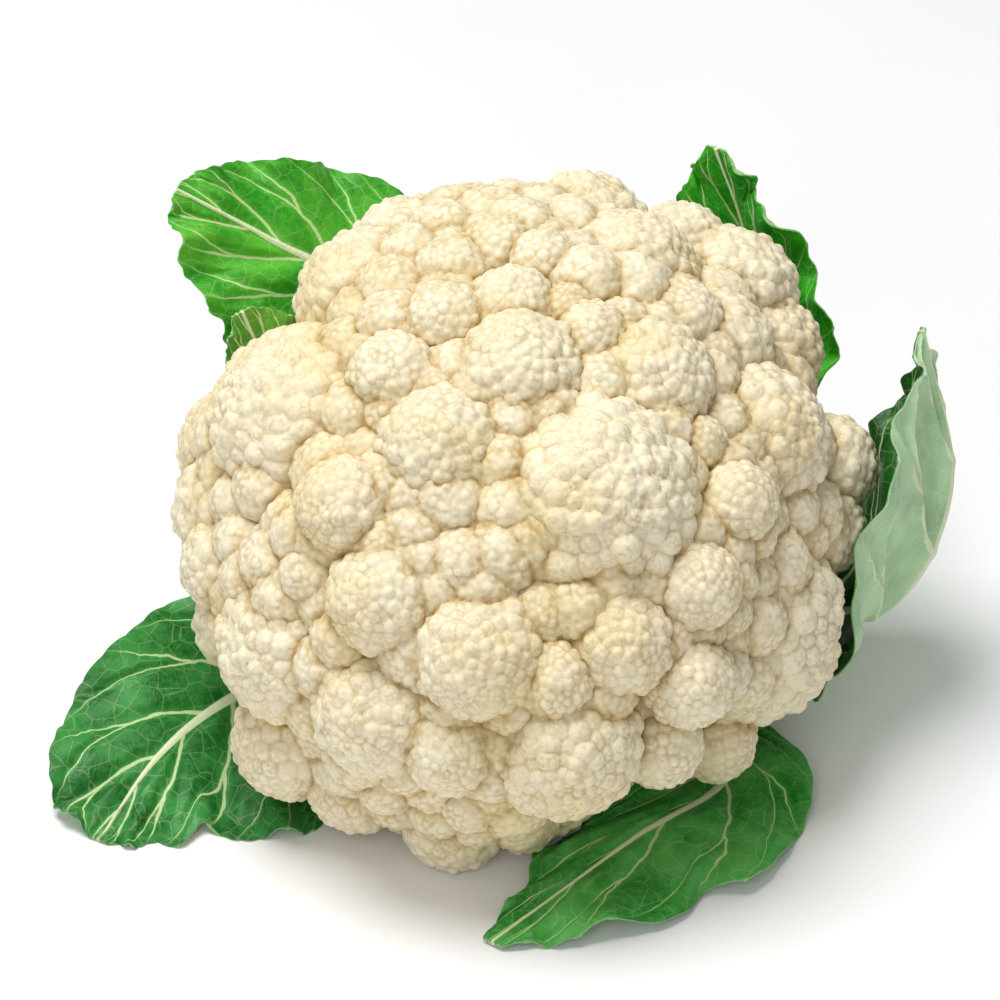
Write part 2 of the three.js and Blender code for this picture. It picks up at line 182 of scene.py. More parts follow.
def core_radius(directions):
    return CORE_SHARE / np.linalg.norm(directions @ HEAD.T / CURD_HALVES, axis=1)


def gap_florets(florets):
    """Small florets that close the gaps left between the others."""
    grown = list(florets)
    for index in range(GAP_PASS[0]):
        middle, size, axis = fill_floret(index, *GAP_PASS)
        if is_bare(middle):
            outward = unit(middle - MIDDLE)
            middle = MIDDLE + outward * (core_radius(outward[None])[0] + BARE_PROUD - size)
        else:
            middle = middle - GAP_SINK * axis
        crowded = any(np.linalg.norm(m - middle) < GAP_SPACING * (r + size) for m, r, _ in grown)
        covered = any(np.linalg.norm(m - middle) < r - GAP_COVERED * size for m, r, _ in florets)
        if not crowded and not covered:
            grown.append((middle, size, axis))
    return grown


florets = all_florets()
FLORET_MIDDLES = np.array([f[0] for f in florets])
FLORET_RADII = np.array([f[1] for f in florets])

# Bumps: lumps on a floret and grains on a lump grow alike, small at the crown, larger toward the rim
BUMP_PACK = 1.36  # spacing of neighbours, in their radii
BUMP_LOWEST = math.radians(112)
BUMP_RIM = 0.34  # radius of the largest, as a share of what carries them
BUMP_SMALLEST = 0.78  # each is this share of its size, and up to BUMP_VARIES more
BUMP_VARIES = 0.44
BUMP_PROUD = 0.05  # how far they stand out, as a share of what carries them
BUMP_LOW = -0.6  # the lowest, in that measure, and how much the highest has more
BUMP_SPAN = 1.6
BUMP_BASE = 0.86  # the ball under the bumps, as a share of the ball they lie on
BUMP_TURN = 1.7  # turns each spiral away from the last
BUMP_ASIDE = (1.0, 0.2, 0.1)
HEX_AREA = 0.866  # a hexagonal cell's area at a spacing of 1
LUMP_CROWN = 1.55
LUMP_SHARE = 0.055  # least size of a lump at the crown, as a share of its floret's radius
GRAIN_CROWN = 1.05
GRAIN_NUMBERS = 97  # the numbers of a floret's grains start this far from the last floret's
GRAINED_FROM = 2.4  # a smaller lump has no grains
# Florets press on one another: so much wider and deeper set than the solids' balls, the seen ones less
SPREAD_FRONT = 0.13
SPREAD_FILL = 0.27
EDGE_FRONT = 0.72  # length of the mesh's edges
EDGE_BACK = 1.05
ICOSAHEDRON_EDGE = 1.107  # on a ball of radius 1
LEAST_SPLITS = 8
CORE_SPLITS = 60
LEAST_CUT = 0.5
LEVEL = 1e-9  # a ray that falls less than this is level
RAYS_AT_ONCE = 4000
CURD_SHARP = 70  # degrees between faces that keep a sharp edge


def bumps(middle, radius, axis, crown, number):
    """Balls on a golden spiral round the axis of a ball: their middles, radii and outward directions."""
    rim = max(crown, BUMP_RIM * radius)
    area = 0.0
    rows = []
    full = 2 * math.pi * radius**2
    while area < full * (1 - math.cos(BUMP_LOWEST)):
        polar = math.acos(1 - area / full)
        size = crown + (rim - crown) * polar / BUMP_LOWEST
        size *= BUMP_SMALLEST + BUMP_VARIES * scatter(number, len(rows))
        rows.append((polar, size, 1 + BUMP_PROUD * (BUMP_SPAN * scatter(len(rows), number) + BUMP_LOW)))
        area += HEX_AREA * (BUMP_PACK * size) ** 2
    polar, size, proud = np.array(rows).T
    turn = np.arange(len(rows)) * GOLDEN_ANGLE + number * BUMP_TURN
    side = unit(np.cross(BUMP_ASIDE, axis))
    other = np.cross(axis, side)
    out = (
        np.cos(polar)[:, None] * axis
        + (np.sin(polar) * np.cos(turn))[:, None] * side
        + (np.sin(polar) * np.sin(turn))[:, None] * other
    )
    return middle + out * (radius * proud - size)[:, None], size, out


def exits(directions, middles, radii, origin):
    """How far each ray from origin runs before it leaves each ball; 0 where it misses."""
    offset = (middles - origin).astype(np.float32)
    along = directions.astype(np.float32) @ offset.T
    inside = (radii**2 - (offset**2).sum(1)).astype(np.float32) + along**2
    return np.where(inside > 0, along + np.sqrt(np.maximum(inside, 0)), 0)


def batches(count):
    return [slice(start, start + RAYS_AT_ONCE) for start in range(0, count, RAYS_AT_ONCE)]


def top_two(directions, middles, radii, origin):
    """The longest and second longest exit of each ray."""
    best = np.zeros((len(directions), 2))
    for rows in batches(len(directions)):
        e = exits(directions[rows], middles, radii, origin)
        best[rows] = np.partition(e, -2, axis=1)[:, :-3:-1] if e.shape[1] > 1 else np.c_[e, e * 0]
    return best


@functools.lru_cache(maxsize=None)
def geodesic(frequency):
    """Unit directions and triangles of an icosahedron, each of its edges split into frequency parts."""
    g = (1 + math.sqrt(5)) / 2
    f = frequency
    corners = unit(np.array([
        (-1, g, 0), (1, g, 0), (-1, -g, 0), (1, -g, 0), (0, -1, g), (0, 1, g),
        (0, -1, -g), (0, 1, -g), (g, 0, -1), (g, 0, 1), (-g, 0, -1), (-g, 0, 1),
    ], float))
    sides = [
        (0, 11, 5), (0, 5, 1), (0, 1, 7), (0, 7, 10), (0, 10, 11), (1, 5, 9), (5, 11, 4), (11, 10, 2),
        (10, 7, 6), (7, 1, 8), (3, 9, 4), (3, 4, 2), (3, 2, 6), (3, 6, 8), (3, 8, 9), (4, 9, 5),
        (2, 4, 11), (6, 2, 10), (8, 6, 7), (9, 8, 1),
    ]
    rows = [(i, j) for i in range(f + 1) for j in range(f + 1 - i)]
    at = {ij: k for k, ij in enumerate(rows)}
    weights = np.array([(f - i - j, i, j) for i, j in rows]) / f
    small = [(at[i, j], at[i + 1, j], at[i, j + 1]) for i, j in rows if i + j < f]
    small += [(at[i + 1, j], at[i + 1, j + 1], at[i, j + 1]) for i, j in rows if i + j < f - 1]
    points = unit(np.concatenate([weights @ corners[list(side)] for side in sides]))
    faces = np.concatenate([np.array(small) + n * len(rows) for n in range(len(sides))])
    _, first, back = np.unique(np.round(points, 6), axis=0, return_index=True, return_inverse=True)
    return points[first], back.reshape(-1)[faces]


def new_mesh(name, points, faces):
    """A mesh from points in millimetres and rows of corners, all rows alike in length or not."""
    mesh = bpy.data.meshes.new(name)
    sizes = [len(face) for face in faces]
    mesh.vertices.add(len(points))
    mesh.vertices.foreach_set("co", (np.asarray(points, np.float32) * np.float32(MM)).ravel())
    mesh.loops.add(sum(sizes))
    mesh.loops.foreach_set("vertex_index", np.concatenate(faces).astype(np.int32))
    mesh.polygons.add(len(faces))
    mesh.polygons.foreach_set("loop_start", np.cumsum([0, *sizes[:-1]]).astype(np.int32))
    mesh.update(calc_edges=True)
    return mesh


def new_object(name, mesh, collection=None):
    obj = bpy.data.objects.new(name, mesh)
    (collection or bpy.context.scene.collection).objects.link(obj)
    return obj


def give(mesh, name, values):
    mesh.attributes.new(name, "FLOAT", "POINT").data.foreach_set("value", np.asarray(values, np.float32))


class Floret:
    """A floret's lumps and grains, and its surface as a distance from its middle."""

    def __init__(self, number, middle, radius, axis):
        spread = SPREAD_FRONT if number < len(FRONT_FLORETS) else SPREAD_FILL
        self.middle = middle - axis * radius * spread
        self.radius = radius * (1 + spread)
        crown = max(LUMP_CROWN, LUMP_SHARE * self.radius)
        self.lumps = bumps(self.middle, self.radius, axis, crown, number)
        grains = [
            bumps(m, r, out, GRAIN_CROWN, number * GRAIN_NUMBERS + k)
            for k, (m, r, out) in enumerate(zip(*self.lumps)) if r > GRAINED_FROM
        ]
        bare = self.lumps[1] <= GRAINED_FROM
        bare_lumps = (self.lumps[0][bare], self.lumps[1][bare])
        self.grains = tuple(np.concatenate([bare_lumps[k], *(g[k] for g in grains)]) for k in (0, 1))
        base = (
            np.vstack([self.lumps[0], self.middle]),
            np.append(self.lumps[1], self.radius) * BUMP_BASE,
        )
        self.balls = tuple(np.concatenate([self.grains[k], base[k]]) for k in (0, 1))

    def surface(self, directions):
        reach = np.zeros(len(directions))
        for rows in batches(len(directions)):
            reach[rows] = exits(directions[rows], *self.balls, self.middle).max(1)
        reach = np.minimum(reach, cut_reach(directions, self.middle, TABLE_GAP))
        return self.middle + directions * reach[:, None]


def cut_reach(directions, origin, gap=0.0):
    """How far rays from origin run before they meet the table or the level of the seat on the stalk."""
    sink = np.maximum(-directions[:, 2], LEVEL)
    down = np.maximum(-directions @ AXIS, LEVEL)
    above_table = max(origin[2] - gap, LEAST_CUT)
    above_seat = max((origin - MIDDLE) @ AXIS + CURD_SEAT, LEAST_CUT)
    return np.minimum(above_table / sink, above_seat / down)


def unite(name, base, parts):
    """One closed skin from a base object and a collection of parts, which are then dropped."""
    join = base.modifiers.new("join", "BOOLEAN")
    join.operation = "UNION"
    join.operand_type = "COLLECTION"
    join.solver = "MANIFOLD"
    join.collection = parts
    mesh = bpy.data.meshes.new_from_object(base.evaluated_get(bpy.context.evaluated_depsgraph_get()))
    mesh.name = name
    for obj in [*parts.objects, base]:
        bpy.data.objects.remove(obj)
    bpy.data.collections.remove(parts)
    return mesh


def points_of(mesh):
    flat = np.empty(len(mesh.vertices) * 3, np.float32)
    mesh.vertices.foreach_get("co", flat)
    return flat.reshape(-1, 3) / MM


def soften(mesh, angle):
    mesh.shade_smooth()
    mesh.set_sharp_from_angle(angle=math.radians(angle))


def curd_mesh():
    """Every floret and the core joined into one closed skin, cut by the seat and the table."""
    parts = bpy.data.collections.new("parts")
    grown = [Floret(n, *row) for n, row in enumerate(gap_florets(florets))]
    for number, floret in enumerate(grown):
        edge = EDGE_FRONT if number < len(FRONT_FLORETS) else EDGE_BACK
        directions, faces = geodesic(max(LEAST_SPLITS, round(ICOSAHEDRON_EDGE * floret.radius / edge)))
        new_object("floret", new_mesh("floret", floret.surface(directions), faces), parts)
    directions, faces = geodesic(CORE_SPLITS)
    radius = np.minimum(core_radius(directions), cut_reach(directions, MIDDLE))
    core = new_object("core", new_mesh("core", MIDDLE + directions * radius[:, None], faces))
    mesh = unite("curd_florets", core, parts)
    mark_creases(mesh, grown)
    soften(mesh, CURD_SHARP)
    return mesh


def mark_creases(mesh, grown):
    """How near each point lies to a crease between florets, lumps or grains, in millimetres."""
    points = points_of(mesh)
    gaps = np.empty((len(points), len(grown)), np.float32)
    for number, floret in enumerate(grown):
        gaps[:, number] = np.linalg.norm(points - floret.middle, axis=1) - floret.radius
    owner = gaps.argmin(1)
    deep = np.partition(gaps, 1, axis=1)[:, 1]
    groove = np.zeros(len(points))
    grain = np.zeros(len(points))
    for number, floret in enumerate(grown):
        own = np.flatnonzero(owner == number)
        if len(own):
            directions = unit(points[own] - floret.middle)
            for store, balls in ((groove, floret.lumps[:2]), (grain, floret.grains)):
                best = top_two(directions, *balls, floret.middle)
                store[own] = best[:, 0] - best[:, 1]
    # These crease measures, with the depth under the dome below, place the curd's painted shade and shadow
    give(mesh, "deep", deep)
    give(mesh, "groove", groove)
    give(mesh, "grain", grain)
    give(mesh, "sunk", 1 - np.linalg.norm((points - MIDDLE) @ HEAD.T / CURD_HALVES, axis=1))


# Leaves, as the solids have them: the root's turn round the stalk, depth below the curd's middle and half
# width, then the routes of the midrib and of both edges. A notch has its edge, 0 left and 1 right, its place
# along it, its depth as a share of the half width, and its width. The upper face has a light and a dark
# colour
LEAVES = {
    "leaf_upper_left": {
        "root": (123, 55, 9), "notches": [(0, 0.55, 0.05, 0.03), (1, 0.62, 0.05, 0.03)],
        "rib": [(-30, 24, -78), (-42, 61, -72), (-65, 75, -62), (-90, 88, -50)],
        "left": [(-44, 12, -74), (-69, 38, -60), (-82, 56, -54), (-90, 74, -50)],
        "right": [(-22, 34, -84), (-28, 85, -80), (-54, 97, -70), (-79, 95, -58)],
        "rib_height": 5, "wave": 3.4, "veins": 6.5,
        "upper": ((92, 186, 52), (26, 138, 10)), "under": (150, 196, 132),
    },
    "leaf_inner_left": {
        "root": (160, 53, 5), "notches": [],
        "rib": [(-44, -6, -68), (-60, 14, -60), (-64, 34, -52), (-72, 55, -40)],
        "left": [(-52, -12, -64), (-70, 8, -56), (-75, 28, -48), (-76, 44, -42)],
        "right": [(-40, 2, -70), (-50, 24, -66), (-53, 42, -57), (-58, 54, -48)],
        "rib_height": 2, "wave": 1.4, "veins": 6.5,
        "upper": ((98, 164, 52), (60, 132, 32)), "under": (160, 204, 132),
    },
    "leaf_upper_right": {
        "root": (54, 55, 9),
        "notches": [(1, 0.86, 0.3, 0.03), (1, 0.74, -0.22, 0.06), (1, 0.55, -0.12, 0.06)],
        "rib": [(34, 22, -78), (59, 48, -72), (64, 72, -60), (55, 99, -47)],
        "left": [(22, 30, -84), (42, 66, -80), (48, 83, -66), (47, 91, -56)],
        "right": [(54, 8, -70), (83, 34, -50), (82, 60, -46), (68, 83, -44)],
        "rib_height": 4, "wave": 3.0, "veins": 6.0,
        "upper": ((60, 184, 20), (10, 130, 4)), "under": (156, 202, 132),
    },
    "leaf_right": {
        "root": (3, 55, 8), "notches": [(1, 0.42, 0.12, 0.03)],
        "rib": [(60, -26, -46), (99, -22, -24), (114, 8, -12), (107, 49, -8)],
        "left": [(52, -14, -62), (92, 10, -50), (100, 28, -42), (108, 40, -22)],
        "right": [(72, -40, -36), (82, -47, -2), (92, -6, 14), (102, 28, 8)],
        "rib_height": 4, "wave": 2.6, "veins": 6.0,
        "upper": ((24, 104, 20), (4, 66, 4)), "under": (184, 220, 176),
    },
    "leaf_lower_right": {
        "root": (322, 54, 8), "notches": [(0, 0.66, 0.17, 0.03)],
        "rib": [(38, -49, -34), (56, -67, -12), (32, -82, 16), (-5, -107, 44)],
        "left": [(48, -44, -38), (78, -66, -10), (62, -93, 26), (22, -104, 44)],
        "right": [(27, -54, -30), (33, -68, -8), (9, -84, 12), (1, -96, 31)],
        "rib_height": 4, "wave": 2.4, "veins": 6.0,
        "upper": ((88, 178, 84), (16, 124, 24)), "under": (150, 194, 142),
    },
    "leaf_lower_left": {
        "root": (203, 55, 9), "notches": [(0, 0.66, 0.14, 0.035)],
        "rib": [(-48, -38, -44), (-74, -48, -28), (-92, -62, -8), (-107, -84, 8)],
        "left": [(-38, -50, -32), (-50, -80, 4), (-72, -84, 8), (-94, -86, 9)],
        "right": [(-50, -24, -50), (-84, -20, -40), (-112, -42, -18), (-120, -70, 2)],
        "rib_height": 4, "wave": 3.0, "veins": 6.0,
        "upper": ((62, 148, 68), (8, 94, 22)), "under": (150, 194, 142),
    },
}
LEAF_ROWS = 181
LEAF_COLUMNS = 97
LEAF_THICKNESS = 0.9
TIP_HALF_WIDTH = 3.0
WAVES_PER_EDGE = 5
RUFFLES_PER_EDGE = 12
RUFFLE_SHARE = 0.3  # a ruffle's height, as a share of a wave's
TEETH_PER_EDGE = 26
TOOTH_LEVEL = 0.6
BAYS_PER_EDGE = 7
EDGE_BITE = 0.5  # how far teeth and bays move the edge
LEAST_REACH = 6.0
LEAF_GAP = 0.05  # the least height over the table
EDGE_THINS = 0.35
LEAF_SHARP = 60  # degrees between faces that keep a sharp edge
# Where features begin or end along a leaf, as shares of its length
BLADE_FROM = (0.3, 0.5)
BLADE_TO = (0.9, 1.0)
VEINS_FROM = (0.15, 0.3)
PUCKER_FROM = (0.2, 0.4)
# The pale midrib's half width: at the tip, how much it gains toward the root, and the swelling of its foot
RIB_TIP = 0.5
RIB_TAPER = 2.3
RIB_FOOT = 4.5
RIB_FOOT_TO = 0.4
RIB_UPPER = 0.5  # its height over the upper face
# The keel under it, as the solids have it: half width at the root, what it loses to the tip, and its lowering
KEEL_ROOT = 9.0
KEEL_TAPER = 6.5
KEEL_LOWERS = 0.9
# Side veins lean toward the tip and part in two
VEIN_LEAN = 0.2
VEIN_CURVE = 1.25
VEIN_SLANT = 0.75  # their spacing square to them, as a share of that along the midrib
VEIN_EDGE = 0.5  # half width at the leaf's edge, and what it gains toward the midrib
VEIN_TAPER = 0.8
VEIN_UPPER = 0.15  # height over each face
VEIN_UNDER = 0.5
FORK_FROM = 0.45  # share of the way to the edge where a vein parts in two
FORK_SPREAD = 0.6
# The blade puckers up between veins, full at these distances from a vein and the midrib
PUCKER_HEIGHT = 1.5
PUCKER_VEIN = 5.0
PUCKER_RIB = 6.0
PUCKER_FADES = 0.6


def catmull(points, share):
    """A centripetal Catmull-Rom curve through the points, at shares from 0 to 1."""
    p = np.asarray(points, float)
    p = np.vstack([2 * p[0] - p[1], p, 2 * p[-1] - p[-2]])
    at = np.clip(share * (len(p) - 3), 0, len(p) - 3 - 1e-9)
    k = at.astype(int)
    w = (at - k)[:, None]
    x0, x1, x2, x3 = p[k], p[k + 1], p[k + 2], p[k + 3]
    d0, d1, d2 = (np.sqrt(np.linalg.norm(v, axis=1, keepdims=True)) for v in (x1 - x0, x2 - x1, x3 - x2))
    t1 = ((x1 - x0) / d0 - (x2 - x0) / (d0 + d1) + (x2 - x1) / d1) * d1
    t2 = ((x2 - x1) / d1 - (x3 - x1) / (d1 + d2) + (x3 - x2) / d2) * d1
    return x1 + t1 * w + (3 * (x2 - x1) - 2 * t1 - t2) * w**2 + (2 * (x1 - x2) + t1 + t2) * w**3


def stalk_point(turn, below, radius):
    a = math.radians(turn)
    return MIDDLE - AXIS * below + radius * (math.cos(a) * ACROSS + math.sin(a) * BACK)


def clear_of_curd(points):
    """Points inside the florets' guard move straight out from the curd's middle until they are clear."""
    offset = points - MIDDLE
    radius = np.linalg.norm(offset, axis=1)
    directions = offset / radius[:, None]
    guard = np.maximum(
        exits(directions, FLORET_MIDDLES, FLORET_RADII + LEAF_CLEARANCE, MIDDLE).max(1),
        core_radius(directions) + LEAF_CLEARANCE,
    )
    guard = np.minimum(guard, cut_reach(directions, MIDDLE) + LEAF_CLEARANCE)
    return MIDDLE + directions * np.maximum(radius, guard)[:, None]


def grid_normals(grid):
    along = np.gradient(grid, axis=0)
    across = np.gradient(grid, axis=1)
    return unit(np.cross(across, along))


def leaf_fields(leaf, number):
    """The leaf's middle surface as a grid, with the distances its veins are drawn from."""
    s = np.linspace(0, 1, LEAF_ROWS)
    t = np.linspace(-1, 1, LEAF_COLUMNS)
    turn, below, half = leaf["root"]
    start = stalk_point(turn, below, STALK_RADIUS + STALK_FLARE + PIECE_GAP)
    rib_points = np.vstack([start, place(leaf["rib"])])
    left, right = place(leaf["left"]), place(leaf["right"])
    root_side = stalk_point(turn + 90, 0, 1) - MIDDLE
    if root_side @ (left[0] - right[0]) < 0:
        root_side = -root_side
    tip_side = unit(left[-1] - right[-1]) * TIP_HALF_WIDTH
    rib = catmull(rib_points, s)
    edges = [
        catmull(np.vstack([start + sign * half * root_side, side, rib_points[-1] + sign * tip_side]), s)
        for sign, side in ((1, left), (-1, right))
    ]
    grown = smoothstep(*BLADE_FROM, s) * (1 - smoothstep(*BLADE_TO, s))
    for k, edge in enumerate(edges):
        reach = np.linalg.norm(edge - rib, axis=1)
        tooth = np.abs(np.sin(math.pi * (TEETH_PER_EDGE * s + scatter(number, k + 3)))) - TOOTH_LEVEL
        bay = np.sin(2 * math.pi * (BAYS_PER_EDGE * s + scatter(number, k + 5)))
        change = grown * EDGE_BITE * (tooth + bay) / np.maximum(reach, LEAST_REACH)
        for _, at, depth, width in (n for n in leaf["notches"] if n[0] == k):
            change -= depth * np.exp(-(((s - at) / width) ** 2))
        edge += (edge - rib) * change[:, None]
    away = np.abs(t)[None, :, None]
    side = np.where((t < 0)[None, :, None], edges[0][:, None], edges[1][:, None])
    flat = rib[:, None] * (1 - away) + side * away
    normals = grid_normals(flat)
    phase = np.array([scatter(number, 1 if x < 0 else 2) for x in t])[None]
    wave = np.sin(2 * math.pi * (WAVES_PER_EDGE * s[:, None] + phase)) * t[None] ** 2
    ruffle = np.sin(2 * math.pi * (RUFFLES_PER_EDGE * s[:, None] + 3 * phase)) * t[None] ** 4
    lift = leaf["wave"] * grown[:, None] * (wave + RUFFLE_SHARE * ruffle)
    grid = clear_of_curd((flat + normals * lift[..., None]).reshape(-1, 3)).reshape(flat.shape)

    step = np.linalg.norm(np.gradient(grid, axis=0), axis=2) * (LEAF_ROWS - 1)
    width = np.linalg.norm(np.gradient(grid, axis=1), axis=2)
    across = np.cumsum(width, axis=1)
    from_rib = np.abs(across - across[:, [LEAF_COLUMNS // 2]])
    rib_half = RIB_TIP + RIB_TAPER * (1 - s) + RIB_FOOT * (1 - smoothstep(0, RIB_FOOT_TO, s))
    lean = VEIN_LEAN * np.abs(t) ** VEIN_CURVE
    offset = np.where(t < 0, 0, 0.5)  # veins of the two halves take turns
    u = leaf["veins"] * (s[:, None] - lean[None]) + offset[None] + scatter(number, 11)
    span = step / leaf["veins"] * VEIN_SLANT
    return s, t, grid, from_rib, rib_half[:, None], u, span


def quads(a, b, c, d):
    return np.stack([a.ravel(), b.ravel(), c.ravel(), d.ravel()], 1)


def leaf_mesh(name, leaf, number):
    """Two faces a blade's thickness apart, raised along the veins and puckered between them, with a rim."""
    s, t, grid, from_rib, rib_half, u, span = leaf_fields(leaf, number)
    away = np.abs(t)[None]
    fork = FORK_SPREAD * np.maximum(0, away - FORK_FROM)
    vein = np.abs(np.abs(u - np.round(u)) - fork) * span
    ridge = np.exp(-((vein / (VEIN_EDGE + VEIN_TAPER * (1 - away))) ** 2))
    ridge = ridge * smoothstep(*VEINS_FROM, s)[:, None]
    rib = np.maximum(0, 1 - (from_rib / rib_half) ** 2)
    pucker = smoothstep(0, PUCKER_VEIN, vein) * smoothstep(0, PUCKER_RIB, from_rib)
    pucker = pucker * (1 - PUCKER_FADES * away**4) * smoothstep(*PUCKER_FROM, s)[:, None]
    normals = grid_normals(grid)
    centre = grid + normals * (PUCKER_HEIGHT * pucker)[..., None]
    half = LEAF_THICKNESS / 2 * (1 - EDGE_THINS * away**6)
    keel = np.maximum(0, 1 - (from_rib / (KEEL_ROOT - KEEL_TAPER * s[:, None])) ** 2)
    keel = leaf["rib_height"] * (1 - KEEL_LOWERS * s[:, None]) * keel
    upper = centre + normals * (half + VEIN_UPPER * ridge + RIB_UPPER * rib)[..., None]
    lower = centre - normals * (half + VEIN_UNDER * ridge + keel)[..., None]
    sunk = np.maximum(0, LEAF_GAP - np.minimum(upper[..., 2], lower[..., 2]))
    upper[..., 2] += sunk
    lower[..., 2] += sunk

    rows, columns = grid.shape[:2]
    index = np.arange(rows * columns).reshape(rows, columns)
    low = index + rows * columns
    loop = np.concatenate([index[0, :-1], index[:-1, -1], index[-1, :0:-1], index[:0:-1, 0]])
    after = np.roll(loop, -1)
    faces = np.concatenate([
        quads(index[:-1, :-1], index[:-1, 1:], index[1:, 1:], index[1:, :-1]),
        quads(low[:-1, :-1], low[1:, :-1], low[1:, 1:], low[:-1, 1:]),
        quads(loop, loop + rows * columns, after + rows * columns, after),
    ])
    mesh = new_mesh(name, np.concatenate([upper.reshape(-1, 3), lower.reshape(-1, 3)]), faces)
    fields = {"rib": from_rib / rib_half, "vein_u": u, "vein_t": away, "vein_mm": span}
    for key, field in fields.items():
        give(mesh, key, np.tile(np.broadcast_to(field, (rows, columns)).ravel(), 2))
    give(mesh, "under", np.repeat([0.0, 1.0], rows * columns))
    soften(mesh, LEAF_SHARP)
    return mesh


# Materials
NOISE_ROUGHNESS = 0.55
VEIN_WANDER = 0.22  # how far veins stray, in their spacings


def linear(rgb):
    """A colour of 0 to 255 as a display shows it, in the renderer's linear terms."""
    c = np.array(rgb) / 255
    c = np.where(c <= 0.04045, c / 12.92, ((c + 0.055) / 1.055) ** 2.4)
    return (*map(float, c), 1.0)


class Shader:
    """A material's node tree; each call adds one node, with sockets given as values or as other outputs."""

    def __init__(self, name):
        self.material = bpy.data.materials.new(name)
        self.material.use_nodes = True
        self.tree = self.material.node_tree
        self.surface = self.tree.nodes["Principled BSDF"]

    def set(self, socket, value):
        if isinstance(value, bpy.types.NodeSocket):
            self.tree.links.new(value, socket)
        else:
            socket.default_value = value

    def node(self, kind, sockets=None, **properties):
        made = self.tree.nodes.new(kind)
        for key, value in properties.items():
            setattr(made, key, value)
        for key, value in (sockets or {}).items():
            self.set(made.inputs[key], value)
        return made

    def math(self, operation, *values):
        return self.node("ShaderNodeMath", dict(enumerate(values)), operation=operation).outputs[0]

    def ramp(self, value, low, high, to_low=0.0, to_high=1.0):
        sockets = {0: value, 1: low, 2: high, 3: to_low, 4: to_high}
        return self.node("ShaderNodeMapRange", sockets, interpolation_type="SMOOTHSTEP").outputs[0]

    def mix(self, factor, a, b):
        made = self.node("ShaderNodeMix", data_type="RGBA")
        for socket, value in zip((made.inputs[0], made.inputs[6], made.inputs[7]), (factor, a, b)):
            self.set(socket, value)
        return made.outputs[2]

    def attribute(self, name):
        return self.node("ShaderNodeAttribute", attribute_name=name).outputs["Fac"]

    def place(self):
        return self.node("ShaderNodeTexCoord").outputs["Object"]

    def noise(self, size, detail):
        """Noise with features about size millimetres across."""
        sockets = {"Vector": self.place(), "Scale": 1 / (size * MM)}
        sockets |= {"Detail": detail, "Roughness": NOISE_ROUGHNESS}
        return self.node("ShaderNodeTexNoise", sockets).outputs[0]

    def cells(self, size, feature, randomness=1.0):
        sockets = {"Vector": self.place(), "Scale": 1 / (size * MM), "Randomness": randomness}
        return self.node("ShaderNodeTexVoronoi", sockets, feature=feature).outputs["Distance"]

    def bump(self, height, depth, strength, normal=None):
        sockets = {"Height": height, "Distance": depth * MM, "Strength": strength}
        if normal is not None:
            sockets["Normal"] = normal
        return self.node("ShaderNodeBump", sockets).outputs[0]

    def finish(self, **sockets):
        for key, value in sockets.items():
            self.set(self.surface.inputs[key.replace("_", " ")], value)
        return self.material


CREAM = linear((240, 231, 204))
BUTTER = linear((230, 211, 160))
# Painted shade and shadow: colours laid into the curd's creases and hollows
CREASE_SHADE_TAN = linear((184, 152, 78))
SEAM_SHADOW_BROWN = linear((138, 98, 38))
HOLLOW_SHADE_OLIVE = linear((180, 166, 92))


def curd_material():
    m = Shader("curd_tissue")
    patch = m.ramp(m.noise(34, 2), 0.4, 0.65)
    speck = m.ramp(m.noise(2.2, 4), 0.42, 0.66)
    base = m.mix(m.math("MULTIPLY", patch, 0.55), CREAM, BUTTER)
    base = m.mix(m.math("MULTIPLY", speck, 0.2), base, BUTTER)
    # Painted shade: the creases between grains and between lumps are tinted tan, broken up by noise
    grain = m.ramp(m.attribute("grain"), 0.0, 0.3, 0.45, 0.0)
    groove = m.ramp(m.attribute("groove"), 0.0, 0.9, 0.6, 0.0)
    broken = m.ramp(m.noise(7, 3), 0.35, 0.65, 0.45, 1.0)
    base = m.mix(m.math("MULTIPLY", m.math("MAXIMUM", grain, groove), broken), base, CREASE_SHADE_TAN)
    # Painted shade: florets set deep under the dome's surface are tinted olive
    sunk = m.ramp(m.attribute("sunk"), 0.05, 0.2, 0.0, 0.35)
    base = m.mix(sunk, base, HOLLOW_SHADE_OLIVE)
    # Painted shade: the creases between florets are tinted tan, with a painted brown shadow along the
    # narrowest seams
    deep = m.ramp(m.attribute("deep"), -1.5, 3.0, 0.75, 0.0)
    base = m.mix(m.math("MULTIPLY", deep, broken), base, CREASE_SHADE_TAN)
    seam_shadow = m.ramp(m.attribute("deep"), -1.5, 0.9, 0.75, 0.0)
    base = m.mix(m.math("MULTIPLY", seam_shadow, broken), base, SEAM_SHADOW_BROWN)
    pearl = m.cells(1.9, "SMOOTH_F1", 0.9)
    normal = m.bump(pearl, -0.5, 0.7)
    normal = m.bump(m.noise(0.5, 3), 0.06, 0.5, normal)
    return m.finish(
        Base_Color=base, Roughness=m.ramp(speck, 0, 1, 0.62, 0.78), Normal=normal,
        Specular_IOR_Level=0.28,
    )


VEIN = linear((202, 222, 160))
RIB = linear((222, 230, 188))


